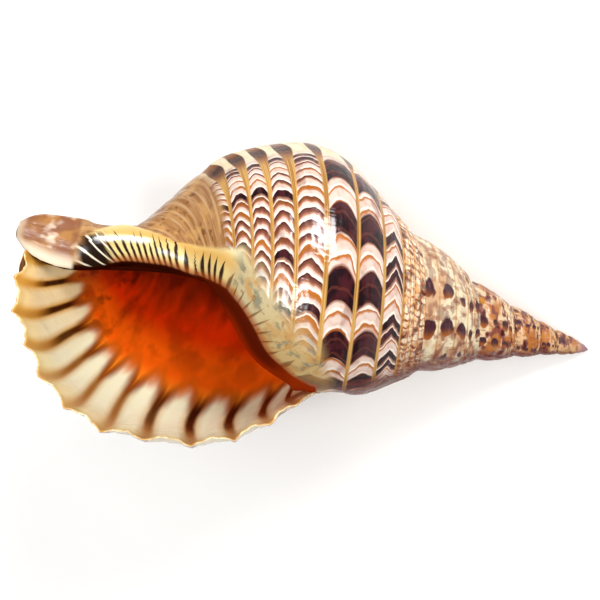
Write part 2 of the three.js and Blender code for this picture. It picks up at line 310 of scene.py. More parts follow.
def varix_height(turn, cord):
    """Thick old lips at equal steps; only the last one reaches below the next turn's seam."""
    waves = 1 - 0.3 * np.abs(np.sin(np.pi * cord))
    end = VARIX_END if turn < 0.9 else OLD_VARIX_END
    return VARIX_HEIGHT * size(turn) * varix_share(turn) * waves * smooth(end - cord)


def parietal_ridge(turn, cord):
    """The pale tooth that runs into the mouth beside the seam."""
    along = smooth((turn - RIDGE_TURN) / 0.04) * smooth((1.35 - turn) / 0.2)
    return RIDGE_HEIGHT * along * np.exp(-(((cord - RIDGE_CORD) / RIDGE_WIDTH) ** 2))


def outer_whorl(turn, cord):
    """The outer surface with all that stands on it."""
    z, r = smooth_whorl(turn, cord)
    out_z, out_r = outward(turn, cord)
    height = bareness(turn, cord, z) * (cord_height(turn, cord) + varix_height(turn, cord))
    height = height + scallop_height(turn, cord) + SHIELD_THICKNESS * shield_cover(turn, z)
    height = height + parietal_ridge(turn, cord)
    return z + height * out_z, r + height * out_r, np.zeros_like(z)


def inner_whorl(turn, cord):
    """The inside of the outer wall, rounded at the rim and fluted near it."""
    z, r = smooth_whorl(turn, cord)
    out_z, out_r = outward(turn, cord)
    rim = np.sqrt(1 - np.clip(1 - turn / RIM_TURNS, 0, 1) ** 2)
    flutes = FLUTE_HEIGHT * np.abs(np.sin(np.pi * cord))
    flutes = flutes * smooth(turn / FLUTE_START) * smooth((FLUTE_END - turn) / 0.15)
    wall = WALL * size(turn) * mix(RIM_SHARE, 1, smooth(turn / THIN_TURNS))
    depth = rim * (wall + flutes * smooth(cord / 2)) - scallop_height(turn, cord)
    return z - depth * out_z, r - depth * out_r, np.zeros_like(z)


def canal_end(turn):
    """How far from the apex the canal's wall ends: short of the pillar, and notched behind the lip."""
    notch = CANAL_NOTCH * smooth(turn / 0.1) * smooth((0.45 - turn) / 0.15)
    return mix(CANAL_END, LENGTH - 1, smooth((turn - 0.3) / 0.2)) - notch


def canal_depth(turn):
    return CANAL_DEPTH * smooth((CANAL_TURNS - turn) / CANAL_CLOSING)


def lobe_scoop(turn, z):
    """The hollowed face of the canal's end, in front."""
    across = smooth((turn - SCOOP_TURN) / 0.13) * smooth((1.0 - turn) / 0.13)
    return SCOOP_DEPTH * across * smooth((z - SCOOP_Z) / 14) * smooth((LENGTH - 1 - z) / 10)


def pillar_radius(z):
    """The pillar's radius, rounded off at the canal's tip."""
    tip = np.sqrt(1 - np.clip((z - LOBE_ROUND) / (LENGTH - LOBE_ROUND), 0, 1) ** 2)
    return curve_through(PILLAR_Z, PILLAR_R, z) * mix(LOBE_TIP, 1, tip)


def pillar_outside(turn, z):
    """The pillar, and before the canal closes the canal's outer wall."""
    neck_z, neck_r, _ = outer_whorl(turn, np.array(NECK_CORD))
    share = smooth(4 * (z - neck_z) / (LENGTH - neck_z))
    bare = (1 - shield_cover(turn, z)) * smooth((SHIELD_END - z) / 6)
    radius = pillar_radius(z) + canal_depth(turn) - lobe_scoop(turn, z)
    radius = radius - SHIELD_THICKNESS * bare
    off = curve_through(PILLAR_Z, PILLAR_OFF, z) * smooth((turn - 0.02) / 0.2)
    return z, mix(neck_r, radius, share), off * share


def pillar_inside(turn, z):
    """The pillar inside the aperture."""
    neck_z, neck_r, _ = outer_whorl(turn, np.array(NECK_CORD))
    first_z, _, _ = outer_whorl(1.0, np.array(NECK_CORD))
    reach = 0.25 * (LENGTH - first_z) * size(turn - 1)
    share = smooth((z - neck_z) / reach)
    radius = pillar_radius(z) - WALL * size(turn - 1) * smooth((turn - 1) / 0.25)
    return z, mix(neck_r, radius, share), curve_through(PILLAR_Z, PILLAR_OFF, z) * share


def canal_inside(turn, z):
    """The inside of the canal's outer wall, which meets the pillar where the canal ends."""
    _, outside_r, outside_up = pillar_outside(turn, z)
    _, floor_r, floor_up = pillar_inside(turn + 1, z)
    opening = smooth((CANAL_TURNS - turn) / CANAL_CLOSING)
    return z, mix(floor_r, outside_r - WALL, opening), mix(floor_up, outside_up, opening)


class Row:
    """Points of one plane through the axis: vertex numbers, and the pattern coordinates of this sheet."""

    def __init__(self, ids, turn, cord, zone):
        self.ids = np.asarray(ids, int)
        self.turn = np.broadcast_to(np.asarray(turn, float), self.ids.shape)
        self.cord = np.broadcast_to(np.asarray(cord, float), self.ids.shape)
        self.zone = np.broadcast_to(np.asarray(zone, float), self.ids.shape)

    def __add__(self, other):
        """This row and then the other, whose first point repeats this row's last."""
        return Row(
            np.concatenate([self.ids, other.ids[1:]]),
            np.concatenate([self.turn, other.turn[1:]]),
            np.concatenate([self.cord, other.cord[1:]]),
            np.concatenate([self.zone, other.zone[1:]]),
        )

    def part(self, chosen):
        return Row(self.ids[chosen], self.turn[chosen], self.cord[chosen], self.zone[chosen])

    def as_zone(self, zone):
        return Row(self.ids, self.turn, self.cord, zone)

    def corners(self):
        """Each point as a face corner: its vertex, turn, cord and zone."""
        return list(zip(self.ids.tolist(), self.turn.tolist(), self.cord.tolist(), self.zone.tolist()))


class Sheet:
    """The mesh under construction: vertices, faces, and each face corner's pattern coordinates."""

    def __init__(self):
        self.points = []
        self.count = 0
        self.faces = []
        self.corners = []

    def add(self, turn, point):
        z, r, up = (np.atleast_1d(v) for v in np.broadcast_arrays(*point))
        a = angle(turn)
        self.points.append(np.stack([-z, -r * np.cos(a), r * np.sin(a) + up], 1))
        self.count += len(z)
        return np.arange(self.count - len(z), self.count)

    def face(self, corners):
        """A face without the corners that repeat a vertex, or none where fewer than three are left."""
        ids = [c[0] for c in corners]
        kept = [c for i, c in enumerate(corners) if c[0] != ids[i - 1]]
        if len(kept) > 2:
            self.faces.append([c[0] for c in kept])
            self.corners.extend(c[1:] for c in kept)

    def stitch(self, a, b, inside_out=False):
        """Quads between rows of equal length, and triangles where their lengths differ."""
        ca, cb = a.corners(), b.corners()
        order = -1 if inside_out else 1
        if len(ca) == len(cb):
            for i in range(len(ca) - 1):
                self.face([ca[i], ca[i + 1], cb[i + 1], cb[i]][::order])
            return
        i = j = 0
        while i < len(ca) - 1 or j < len(cb) - 1:
            next_a = (i + 1) / max(len(ca) - 1, 1)
            next_b = (j + 1) / max(len(cb) - 1, 1)
            if j >= len(cb) - 1 or (i < len(ca) - 1 and next_a <= next_b + 1e-9):
                self.face([ca[i], ca[i + 1], cb[j]][::order])
                i += 1
            else:
                self.face([ca[i], cb[j + 1], cb[j]][::order])
                j += 1

    def fan(self, centre, ring):
        """Triangles from a middle vertex to a closed ring."""
        points = ring.corners()
        middle = (int(centre), *points[0][1:])
        for i in range(len(points)):
            self.face([middle, points[(i + 1) % len(points)], points[i]])


def spread(start, end, count):
    """Equal steps after start, up to end."""
    return start + (end - start) * np.arange(1, count + 1) / count


def cuts_across(turn):
    """Fewer cuts across the small turns near the apex."""
    return max(4, round(SEAM_CORD * CORD_CUTS * COARSENING ** (1 - int(turn))))


FRACTIONS = np.array(sorted(set(RIM_STEPS) | set(np.arange(1, STEPS) / STEPS)))
PER_TURN = len(FRACTIONS)


def turn_of(step):
    return step // PER_TURN + FRACTIONS[step % PER_TURN]


LAST_STEP = TURNS * PER_TURN
CANAL_STEP = int(np.searchsorted(FRACTIONS, CANAL_TURNS))
CAVITY_STEP = PER_TURN + int(np.searchsorted(FRACTIONS, CAVITY_TURNS - 1))
# The zones of the surface, and where the fans that close it lie in the pattern
EXTERIOR, OUTER_WALL, INNER_WALL = 0.0, 1.0, 2.0
TIP_TURN = 0.8
CAVITY_END_CORD = 5.0
CAVITY_END_REACH = 0.75


def canal_cords(count):
    return np.concatenate([[NECK_CORD], spread(NECK_CORD, TIP_CORD, count)])


class Shell:
    """Builds the closed surface: the outside, the cavity that winds in from the mouth, and the canal."""

    def __init__(self):
        self.sheet = Sheet()
        self.seams = self.build_seams()
        self.open_rows = [self.open_row(step) for step in range(PER_TURN)]
        self.inners = []
        self.outers = []
        for step in range(CAVITY_STEP + 1):
            self.inners.append(self.cavity_inner(step))
            self.outers.append(self.cavity_outer(step))
        self.stitch_outside()
        self.stitch_cavity()
        self.close_ends()

    def build_seams(self):
        apex = self.sheet.add(TURNS, (BLUNT_Z, 0.0, 0.0))[0]
        seams = []
        for step in range(LAST_STEP + 1):
            turn = turn_of(step)
            z, r = smooth_whorl(turn, 0.0)
            seams.append(self.sheet.add(turn, (z, r, 0.0))[0] if step < LAST_STEP - PER_TURN else apex)
        return seams

    def spire_row(self, step):
        """The part of a turn that shows between its seam and the next one."""
        turn = turn_of(step)
        cords = spread(0, seam_cord(turn - 1), cuts_across(turn))
        if step == LAST_STEP:
            return Row([self.seams[step], self.seams[step]], turn, 0, EXTERIOR)
        middle = self.sheet.add(turn, outer_whorl(turn, cords[:-1]))
        ids = np.concatenate([[self.seams[step]], middle, [self.seams[step - PER_TURN]]])
        return Row(ids, turn, np.concatenate([[0.0], cords]), EXTERIOR)

    def open_row(self, step):
        """The last turn's row, from the seam over the neck to the canal's tip."""
        turn = turn_of(step)
        cords = spread(0, NECK_CORD, int(NECK_CORD) * CORD_CUTS)
        whorl = self.sheet.add(turn, outer_whorl(turn, cords))
        neck = outer_whorl(turn, np.array(NECK_CORD))[0]
        canal = self.sheet.add(turn, pillar_outside(turn, spread(neck, canal_end(turn), CANAL_CUTS)))
        return {
            "whorl": Row([self.seams[step], *whorl], turn, np.concatenate([[0.0], cords]), EXTERIOR),
            "canal": Row([whorl[-1], *canal], turn, canal_cords(CANAL_CUTS), EXTERIOR),
        }

    def cavity_inner(self, step):
        """The canal's floor from its tip, the pillar, and the turn before up to the corner."""
        turn = turn_of(step)
        before = turn + 1
        add = self.sheet.add
        neck = inner_whorl(turn, np.array(NECK_CORD))[0]
        if step < CANAL_STEP:
            tip = add(before, pillar_inside(before, np.array(LENGTH)))[0]
        else:
            tip = self.open_rows[CANAL_STEP]["canal"].ids[-1]
        if step <= CANAL_STEP:
            floor_ids = [tip, *add(before, pillar_inside(before, spread(LENGTH, neck, CANAL_CUTS)))]
            floor = Row(floor_ids, before, canal_cords(CANAL_CUTS)[::-1], INNER_WALL)
        else:
            floor = Row(add(before, pillar_inside(before, neck)), before, NECK_CORD, INNER_WALL)
        first = outer_whorl(before, np.array(NECK_CORD))[0]
        pillar_ids = add(before, pillar_inside(before, spread(neck, first, PILLAR_CUTS)))
        pillar = Row([floor.ids[-1], *pillar_ids], before, NECK_CORD, INNER_WALL)
        corner_cord = seam_cord(turn) + CORNER_DEPTH * smooth(turn / CORNER_TURNS)
        cuts = WALL_CUTS if turn < DEEP_TURN else DEEP_WALL_CUTS
        cords = spread(NECK_CORD, corner_cord, cuts)
        wall_ids = add(before, outer_whorl(before, cords[:-1]))
        corner = self.seams[0] if step == 0 else add(before, outer_whorl(before, cords[-1:]))[0]
        wall_cords = np.concatenate([[NECK_CORD], cords])
        wall = Row([pillar_ids[-1], *wall_ids, corner], before, wall_cords, INNER_WALL)
        return {"floor": floor, "pillar": pillar, "wall": wall}

    def cavity_outer(self, step):
        """The outer wall's inside, from the corner to the neck and on to the canal's rim."""
        if step == 0:
            return {name: row.as_zone(OUTER_WALL) for name, row in self.open_rows[0].items()}
        turn = turn_of(step)
        add = self.sheet.add
        inner = self.inners[step]
        neck = inner_whorl(turn, np.array(NECK_CORD))[0]
        first = FIRST_INNER_CORD * smooth(turn / CORNER_TURNS)
        cuts = int(NECK_CORD) * (CORD_CUTS if turn < DEEP_TURN else DEEP_CORD_CUTS)
        cords = np.concatenate([[first], spread(first, NECK_CORD, cuts)])
        whorl_ids = add(turn, inner_whorl(turn, cords[:-1]))
        corner = inner["wall"].ids[-1]
        if step >= CANAL_STEP:
            canal_ids = inner["floor"].ids[::-1]
        else:
            heights = np.concatenate([[neck], spread(neck, canal_end(turn), CANAL_CUTS)[:-1]])
            canal_ids = [*add(turn, canal_inside(turn, heights)), self.open_rows[step]["canal"].ids[-1]]
        canal_cord = canal_cords(CANAL_CUTS) if step <= CANAL_STEP else NECK_CORD
        whorl_cords = np.concatenate([[first], cords[:-1], [NECK_CORD]])
        return {
            "whorl": Row([corner, *whorl_ids, canal_ids[0]], turn, whorl_cords, OUTER_WALL),
            "canal": Row(canal_ids, turn, canal_cord, OUTER_WALL),
        }

    def stitch_outside(self):
        """The last turn, its edge with the turn before inside the mouth, and the spire."""
        sheet = self.sheet
        for a, b in zip(self.open_rows, self.open_rows[1:]):
            sheet.stitch(a["whorl"], b["whorl"])
            sheet.stitch(a["canal"], b["canal"])
        spire = [self.spire_row(step) for step in range(PER_TURN, LAST_STEP + 1)]
        last = self.open_rows[-1]
        backwards = slice(None, None, -1)
        first = {name: row.part(backwards).as_zone(EXTERIOR) for name, row in self.inners[0].items()}
        sheet.stitch(last["whorl"], spire[0] + first["wall"])
        canal_ids = np.concatenate([first["pillar"].ids, first["floor"].ids[1:]])
        canal = Row(canal_ids, 1.0, canal_cords(PILLAR_CUTS + CANAL_CUTS), EXTERIOR)
        sheet.stitch(last["canal"], canal)
        for a, b in zip(spire, spire[1:]):
            sheet.stitch(a, b)

    def stitch_cavity(self):
        sheet = self.sheet
        for step in range(CAVITY_STEP):
            a, b = self.outers[step], self.outers[step + 1]
            c, d = self.inners[step], self.inners[step + 1]
            sheet.stitch(a["whorl"], b["whorl"], True)
            sheet.stitch(c["pillar"], d["pillar"], True)
            sheet.stitch(c["wall"], d["wall"], True)
            if step < CANAL_STEP:
                sheet.stitch(a["canal"], b["canal"], True)
                sheet.stitch(c["floor"], d["floor"], True)

    def close_ends(self):
        """The blunt end of the pillar, and the inner end of the cavity."""
        rim = [row["canal"].ids[-1] for row in self.open_rows[CANAL_STEP:]]
        far = [inner["floor"].ids[0] for inner in self.inners[:CANAL_STEP]]
        off = curve_through(PILLAR_Z, PILLAR_OFF, LENGTH)
        tip = self.sheet.add(0.0, (LENGTH, 0.0, off))[0]
        self.sheet.fan(tip, Row(rim + far, TIP_TURN, TIP_CORD, EXTERIOR))
        turn = turn_of(CAVITY_STEP)
        z, r, up = inner_whorl(turn, np.array(CAVITY_END_CORD))
        middle = self.sheet.add(turn, (z, r * CAVITY_END_REACH, up))[0]
        last = self.inners[-1]
        ids = np.concatenate([self.outers[-1]["whorl"].ids[:-1], last["pillar"].ids, last["wall"].ids[1:-1]])
        self.sheet.fan(middle, Row(ids, turn, CAVITY_END_CORD, OUTER_WALL))


def rest_rotation():
    """How the shell rests: rolled about its axis, then sloped down to its tip."""
    c, s = np.cos(REST_ROLL), np.sin(REST_ROLL)
    roll = np.array([[1, 0, 0], [0, c, -s], [0, s, c]])
    c, s = np.cos(REST_SLOPE), np.sin(REST_SLOPE)
    slope = np.array([[c, 0, s], [0, 1, 0], [-s, 0, c]])
    return slope @ roll


def spiral_origin():
    """Where the spiral's own origin lies in the row frame, from the tip of the CAD shell."""
    mesh = frame["nodes"]["shell"].data
    points = np.empty(len(mesh.vertices) * 3)
    mesh.vertices.foreach_get("co", points)
    points = points.reshape(-1, 3)
    tip = points[np.argmax(points[:, 0])]
    return tip - rest_rotation() @ np.array([-APEX_Z * MM, 0, 0])


def inner_edge():
    """Points along the inner lip's inner edge, with their distances along it."""
    points = []
    for cord in np.linspace(EDGE_CORD[0], EDGE_CORD[-1], EDGE_SAMPLES):
        turn = curve_through(EDGE_CORD, EDGE_TURN, cord)
        neck = smooth_whorl(turn, np.array(NECK_CORD))[0]
        if cord < NECK_CORD:
            z, r, up = outer_whorl(turn, np.array(cord))
        else:
            z, r, up = pillar_outside(turn, mix(neck, LENGTH, (cord - NECK_CORD) / (TIP_CORD - NECK_CORD)))
        points.append([-z, -r * np.cos(angle(turn)), r * np.sin(angle(turn)) + up])
    points = np.array(points, float)
    steps = np.linalg.norm(np.diff(points, axis=0), axis=1)
    return points, np.concatenate([[0.0], np.cumsum(steps)])


def place_on_lip(points, turn, cord):
    """How far along the inner lip a point lies, and how far inside its inner edge."""
    edge, along = inner_edge()
    legs = np.diff(edge, axis=0)
    lengths = np.linalg.norm(legs, axis=1)
    place = np.empty(len(points))
    away = np.empty(len(points))
    for start in range(0, len(points), BLOCK):
        block = points[start : start + BLOCK, None, :] - edge[None, :-1]
        share = np.clip((block * legs).sum(2) / lengths**2, 0, 1)
        distance = np.linalg.norm(block - share[..., None] * legs, axis=2)
        leg = distance.argmin(1)
        row = np.arange(len(leg))
        away[start : start + BLOCK] = distance[row, leg]
        place[start : start + BLOCK] = along[leg] + share[row, leg] * lengths[leg]
    inside = (turn > curve_through(EDGE_CORD, EDGE_TURN, cord)) & (cord > SEAM_CORD + 0.4)
    return place, np.where(inside, away, -away)


def stroke_number(along, inward):
    """A number that counts the dark strokes, which lean one way near the corner, the other near the canal."""
    lean = 0.3 * smooth((along - 62) / 15) - 0.7 * smooth((along - 95) / 12)
    straight = along - lean * (np.clip(inward, -25, 8) + 6)
    return np.interp(straight, STROKE_AT, np.arange(len(STROKE_AT)))


def build_mesh():
    """The shell's piece, with the pattern coordinates that its material reads at every face corner."""
    shell = Shell()
    local = np.concatenate(shell.sheet.points)
    points = local * MM @ rest_rotation().T + spiral_origin()
    mesh = bpy.data.meshes.new("shell_surface")
    mesh.from_pydata(points.tolist(), [], shell.sheet.faces)
    turn, cord, zone = np.array(shell.sheet.corners).T
    corner_points = local[np.concatenate(shell.sheet.faces)]
    height = -corner_points[:, 0]
    along, inward = place_on_lip(corner_points, turn, cord)
    layers = {
        "turn": turn,
        "cord": cord,
        "zone": zone,
        "height": height,
        "shield": shield_cover(turn, height),
        "along": along,
        "stroke": stroke_number(along, inward),
        "inward": inward,
    }
    for name, values in layers.items():
        layer = mesh.attributes.new(name, "FLOAT", "CORNER")
        layer.data.foreach_set("value", values.astype(np.float32))
    mesh.shade_smooth()
    piece = bpy.data.objects.new("shell_surface", mesh)
    bpy.context.scene.collection.objects.link(piece)
    print("faces", len(mesh.polygons), "triangles", sum(len(p.vertices) - 2 for p in mesh.polygons))
    return piece


def srgb(code):
    """A colour written as six hexadecimal digits, as Blender's linear values."""
    values = [int(code[i : i + 2], 16) / 255 for i in (0, 2, 4)]
    return tuple(v / 12.92 if v <= 0.04045 else ((v + 0.055) / 1.055) ** 2.4 for v in values) + (1.0,)


def place_camera():
    """The photograph's camera, placed so that the spire's tip falls on its pixel."""
    yaw, pitch = CAMERA_YAW, CAMERA_PITCH
    axis = np.array([-np.cos(pitch) * np.cos(yaw), -np.cos(pitch) * np.sin(yaw), -np.sin(pitch)])
    front = np.array([0, 0, -1.0]) + axis * axis[2]
    front /= np.linalg.norm(front)
    above = np.cross(axis, front)
    above *= -np.sign(above[1])
    # columns: the shell's axis, its side toward the viewer and its upper side, seen from the camera
    seen = np.stack([axis, front, above], 1)
    shell = rest_rotation() @ np.diag([-1.0, -1.0, 1.0])
    turn = shell @ seen.T
    half = FRAME_PIXELS / 2
    tip = np.array([(APEX_PIXEL[0] - half) / FOCAL_PIXELS, (APEX_PIXEL[1] - half) / FOCAL_PIXELS, 1.0])
    place = spiral_origin() - turn @ (tip * APEX_DEPTH * MM)
    matrix = np.eye(4)
    matrix[:3, 0] = turn @ [1, 0, 0]
    matrix[:3, 1] = turn @ [0, -1, 0]
    matrix[:3, 2] = turn @ [0, 0, -1]
    matrix[:3, 3] = place
    data = bpy.data.cameras.new("camera")
    data.sensor_width = SENSOR
    data.lens = SENSOR * FOCAL_PIXELS / FRAME_PIXELS
    camera = bpy.data.objects.new("camera", data)
    camera.matrix_world = Matrix(matrix.tolist())
    bpy.context.scene.collection.objects.link(camera)
    bpy.context.scene.camera = camera
    return camera


def plain_material(name, colour, roughness):
    """One even finish, for the floor."""
    material = bpy.data.materials.new(name)
    material.use_nodes = True
    shader = material.node_tree.nodes["Principled BSDF"]
    shader.inputs["Base Color"].default_value = srgb(colour)
    shader.inputs["Roughness"].default_value = roughness
    return material


# Beads and streaks between the seam and this cord: rows in a cord, and beads and streaks in a turn
BEADS_END = 2.0
BEAD_ROWS = 2.08
BEADS = 78
STREAKS = 66
# Arcs in a turn between the grooves, how many more on the fine rows, and how far they arch, in arcs
ARCS = 44
FINE_ARCS = 16
FINE_ROW = 4.5
ARCH = 0.95
# Arcs crowd together this close behind an old lip
CROWDING_TURN = 0.07
CROWDING_TURNS = 0.025
# Dark arcs: where one group of them is, and how far apart the groups are
DARK_TURN = 0.69
DARK_TURNS = 0.078
# Solid dark patches on the two broad rows, each row's a little further on
PATCH_ROW = 3.5
PATCH_TURN = 0.717
PATCH_TURNS = 0.08
PATCH_DRIFT = 0.004
# Cords over which the bands give way to the plain neck
NECK_PATTERN_FROM = 9.1
NECK_PATTERN_TO = 9.6
# The spire: spots in a turn, how far their rows are off the cords, and the turns where the tip goes mauve
SPOTS = 10.6
SPOT_CORD = 0.2
TIP_COLOUR_FROM = 7.5
TIP_COLOUR_TO = 8.2
# The pale tongues of the mouth: where they end beside a groove, and how much further in their middles reach
TONGUE_TURN = 0.102
TONGUE_ARCH = 0.044
# The inner lip: where the callus gives way to the roll along its edge, and the strokes across it
ROLL_FROM = 66.0
ROLL_TO = 74.0
STROKE_DENSITY = 1.4
STROKE_START = -12.0
STROKE_RUN = 9.0
# Shares of the brown glaze over the outside and over the inner lip
GLAZE = 0.13
LIP_GLAZE = 0.1
# The specular level: least, most outside, and inside; it is least by the seam's turn and on the old lip
SPECULAR_LEAST = 0.02
SPECULAR_RISE = 0.13
SPECULAR_INSIDE = 0.15
DULL_SEAM_TURN = 1.02
DULL_LIP_TURN = 0.55
BUMP_STRENGTH = 0.8


class Wire:
    """A value or colour that runs between shader nodes, and can be reckoned with like a number."""

    tree = None

    def __init__(self, socket):
        self.socket = socket

    def __add__(self, other):
        return calc("ADD", self, other)

    __radd__ = __add__

    def __sub__(self, other):
        return calc("SUBTRACT", self, other)

    def __rsub__(self, other):
        return calc("SUBTRACT", other, self)

    def __mul__(self, other):
        return calc("MULTIPLY", self, other)

    __rmul__ = __mul__

    def __truediv__(self, other):
        return calc("DIVIDE", self, other)

    def __pow__(self, other):
        return calc("POWER", self, other)


def node(kind, inputs, output=0, **settings):
    """A shader node with its inputs wired or set, and the wire from one of its outputs."""
    made = Wire.tree.nodes.new(kind)
    for name, value in settings.items():
        setattr(made, name, value)
    for key, value in inputs.items():
        if isinstance(value, Wire):
            Wire.tree.links.new(value.socket, made.inputs[key])
        else:
            made.inputs[key].default_value = value
    return Wire(made.outputs[output])


def calc(operation, *values):
    return node("ShaderNodeMath", dict(enumerate(values)), operation=operation)


def floor_of(x):
    return calc("FLOOR", x)


def part_of(x):
    return calc("FRACT", x)


def size_of(x):
    return calc("ABSOLUTE", x)


def larger(a, b):
    return calc("MAXIMUM", a, b)


def wave(x):
    """A wave between 0 and 1 with its crests at the whole numbers."""
    return calc("COSINE", x * (2 * np.pi)) * 0.5 + 0.5


def ramp(x, start, end):
    """A smooth step from 0 at start to 1 at end, which may be the lower of the two."""
    inputs = {"Value": x, "From Min": start, "From Max": end}
    return node("ShaderNodeMapRange", inputs, interpolation_type="SMOOTHSTEP")


def bump_at(x, centre, width):
    """A smooth hill of the given half width."""
    return ramp(size_of(x - centre), width, 0.0)


def vector(x, y, z=0.0):
    return node("ShaderNodeCombineXYZ", {"X": x, "Y": y, "Z": z})


def noise(x, y, seed=0.0, detail=2.0):
    """Soft clouds about as wide as 1 in x and y; another seed gives other clouds."""
    return node("ShaderNodeTexNoise", {"Vector": vector(x, y, seed), "Scale": 1.0, "Detail": detail})


def chance(x, y, z=0.0):
    """A random number between 0 and 1 for each whole x, y and z."""
    return node("ShaderNodeTexWhiteNoise", {"Vector": vector(x, y, z)}, noise_dimensions="3D")


def blended(share, first, second):
    """From the first colour at share 0 to the second at 1."""
    first = srgb(first) if isinstance(first, str) else first
    second = srgb(second) if isinstance(second, str) else second
    return node("ShaderNodeMix", {0: share, 6: first, 7: second}, 2, data_type="RGBA")


def blend_number(share, first, second):
    return first + (second - first) * share


def is_inside(zone):
    """1 on the inside of the outer wall and beyond it, 0 on the outside."""
    return ramp(zone, 0.4, 0.6)


def is_pillar_side(zone):
    """1 on the pillar and the turn before inside the cavity, 0 elsewhere."""
    return ramp(zone, 1.4, 1.6)


def attribute(name):
    return node("ShaderNodeAttribute", {}, 2, attribute_name=name)


def painted(base, *coats):
    """The base colour under coats, each a share and a colour."""
    for share, colour in coats:
        base = blended(share, base, colour)
    return base


def cord_bands(turn, cord):
    """The pink and brown bands of arcs between the grooves of the last turn.

    Also gives the distance from the nearest groove, and the turns since the last old lip."""
    drift = noise(turn * 26, cord * 1.9, 0.0, 2.5) - 0.5
    row = floor_of(cord)
    across = part_of(cord) * 2 - 1
    groove = size_of(part_of(cord + 0.5) - 0.5)
    since = turn - floor_of(turn / VARIX_TURNS) * VARIX_TURNS
    fine = ramp(row, FINE_ROW - 0.3, FINE_ROW + 0.3)
    arcs = ARCS + fine * FINE_ARCS
    bulge = blend_number(bump_at(row, 2, 0.5), 1 - across * across, 1.3 - 1.3 * size_of(across))
    phase = chance(row, 3.0)
    crowd = 1.5 * calc("EXPONENT", (CROWDING_TURN - since) / CROWDING_TURNS)
    place = turn * arcs - crowd + phase + bulge * ARCH + drift
    cell = floor_of(place)
    inside = part_of(place)
    middle = (cell + 0.5 - phase - 0.6) / arcs
    luck = chance(cell, row)
    broad = ramp(size_of(row - PATCH_ROW), 0.8, 0.6)
    dark = wave((middle - DARK_TURN) / DARK_TURNS) + (luck - 0.5) * 0.7 - fine * 0.3
    dark = ramp(dark, 0.62, 0.66) * (1 - broad)
    level = turn + bulge * ARCH / arcs + drift * 0.008 - PATCH_TURN - PATCH_DRIFT * row
    level = wave(level / PATCH_TURNS)
    patch = ramp(level, 0.46, 0.54) * broad * ramp(since, 0.075, 0.1)
    thick = blend_number(dark, 0.16 + fine * ramp(turn, 0.6, 0.74) * 0.42 + luck * 0.1, 0.96)
    crescent = ramp(inside, thick, thick * 0.6) * ramp(inside, 0.0, 0.05)
    crescent = crescent * ramp(since, 0.065, 0.085)
    field = painted(
        "e2cabc",
        (ramp(noise(turn * 60, cord * 3), 0.4, 0.7) * 0.6, "c99c86"),
        (ramp(inside, 0.74, 0.88) * (0.6 + 0.4 * luck), "f9f0e4"),
        (bump_at(inside, thick * 0.85, 0.16) * 0.8, "b8642a"),
    )
    brown = blended(ramp(inside, 0.0, 0.4), "3a1418", "7e4836")
    thin = blended(ramp(luck, 0.1, 0.5) * fine, "b0661e", brown)
    ink = blended(ramp(noise(turn * 34, cord * 2.4, 5.0), 0.42, 0.6), "190b13", "42191f")
    mark = blended(dark, thin, blended(ramp(inside, 0.5, 0.95), ink, "7a3a1e"))
    bands = blended(crescent, field, mark)
    smear = noise(turn * 18, cord * 1.1, 7.0, 3.0)
    bands = painted(
        bands,
        (ramp(smear, 0.56, 0.68) * 0.55, "7a3c22"),
        (ramp(smear, 0.4, 0.3) * 0.3, "e9d2c4"),
    )
    shine = blended(ramp(wave(place + 0.3), 0.85, 1.0) * 0.5, ink, "6a3428")
    fringe = ramp(level, 0.34, 0.46) * broad * ramp(since, 0.075, 0.1)
    bands = painted(bands, (fringe * 0.7, "8a4420"), (patch, shine))
    ivory = blended(noise(turn * 30, cord * 4), "f6ecd6", "dcc088")
    bands = blended(ramp(since, 0.085, 0.06), bands, ivory)
    return bands, groove, since


def outer_colour(turn, cord):
    """The last turn: bands between tan grooves, beads under the seam, the neck, and painted shade by the
    mouth.
    """
    bands, groove, since = cord_bands(turn, cord)
    near_varix = ramp(since, 0.17, 0.06)
    width = 0.035 + 0.02 * ramp(cord, 4.4, 5.4)
    width = width + 0.14 * near_varix * ramp(cord, 4.5, 6.5)
    width = width + 0.1 * bump_at(since, 0.05, 0.045)
    tan = painted(
        "cfa058",
        (ramp(noise(turn * 5, cord * 22), 0.42, 0.62), "9c6a2e"),
        (ramp(since, 0.1, 0.07), "8a5220"),
        (bump_at(since, 0.05, 0.035), "3a180e"),
    )
    colour = blended(ramp(groove, width + 0.06, width), bands, tan)
    colour = blended(ramp(cord, BEADS_END, BEADS_END - 0.07), colour, cord_beads(turn, cord))
    colour = blended(ramp(cord, NECK_PATTERN_FROM, NECK_PATTERN_TO), colour, neck_colour(turn, cord))
    uneven = (noise(turn * 16, cord * 1.5) - 0.5) * 0.08
    # Painted shade: dark red-brown over the lower edge of the last turn, near its end by the mouth's corner
    underside_shade = ramp(turn + uneven, 0.93, 0.98) * ramp(cord, 5.0, 3.8)
    return blended(underside_shade * 0.9, colour, blended(wave(turn * 42), "4a120c", "7c2c16"))


